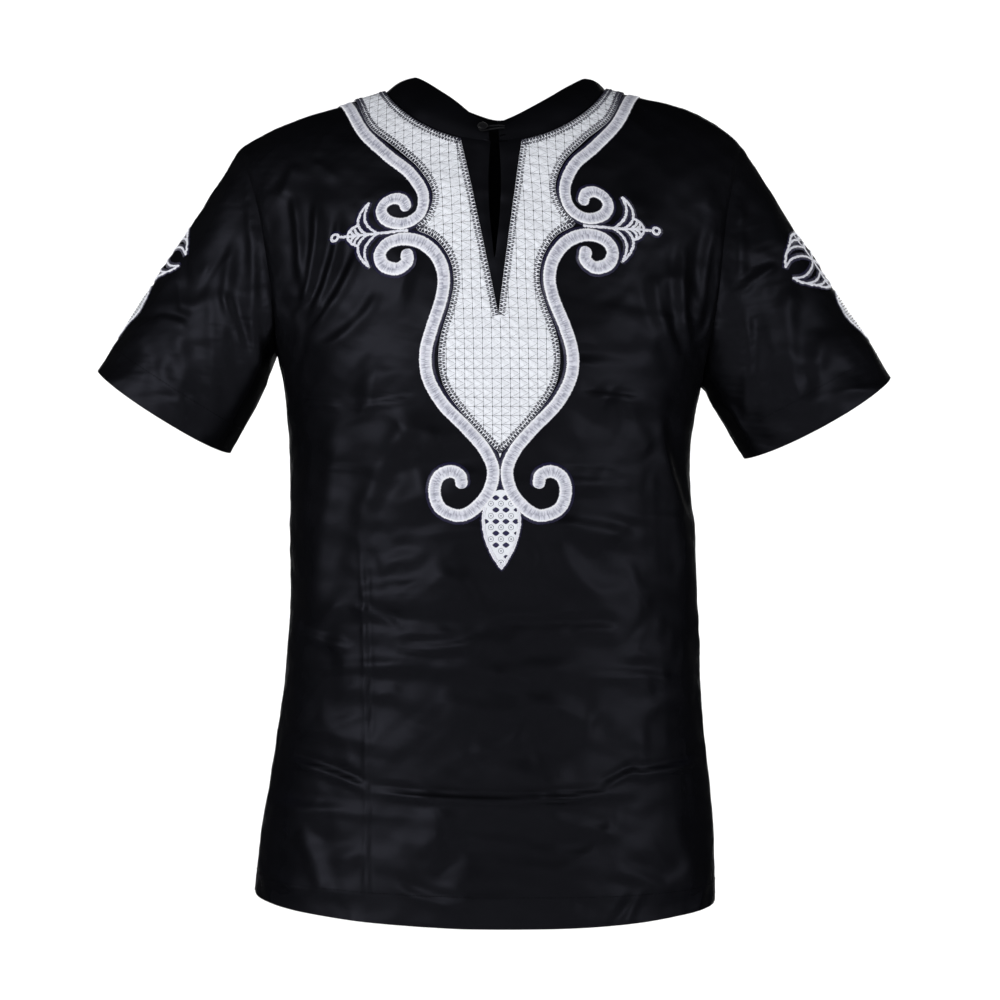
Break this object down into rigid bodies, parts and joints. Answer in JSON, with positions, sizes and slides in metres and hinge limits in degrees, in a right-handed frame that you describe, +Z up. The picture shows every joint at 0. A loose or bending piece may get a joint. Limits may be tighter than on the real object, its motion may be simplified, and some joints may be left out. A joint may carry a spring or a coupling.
{
  "type": "dashiki shirt",
  "caption": "Short-sleeved pullover dashiki, hollow as worn: low band collar, looped neck slit, lattice yoke, satin scrolls, palmettes and a leaf drop.",
  "frame": {"origin": "middle of the neck opening, level with the points where the collar band crosses the shoulders, where the wearer carries the shirt", "axes": "+X across the shirt to the wearer's left, -Y out of the chest, +Z up"},
  "size_m": [0.714, 0.2564, 0.7385],
  "materials": {
    "black_cotton": "polished cotton with a soft sheen",
    "satin_thread": "satin-stitched white and grey thread",
    "lattice_thread": "white thread field with a fine grey lattice",
    "black_bead": "gloss",
    "black_cord": "matt cord"
  },
  "bodies": {
    "root": {"front": "black_cotton", "back": "black_cotton", "sleeve_left": "black_cotton", "sleeve_right": "black_cotton", "neck_band": "black_cotton", "yoke": "lattice_thread", "scroll_upper_left": "satin_thread", "scroll_upper_right": "satin_thread", "scroll_lower_left": "satin_thread", "scroll_lower_right": "satin_thread", "palmette_left": "satin_thread", "palmette_right": "satin_thread", "leaf_drop": "lattice_thread", "sleeve_fan_left": "satin_thread", "sleeve_fan_right": "satin_thread", "sleeve_leaf_left": "lattice_thread", "sleeve_leaf_right": "lattice_thread", "button": "black_bead", "button_loop": "black_cord"}
  },
  "joints": []
}
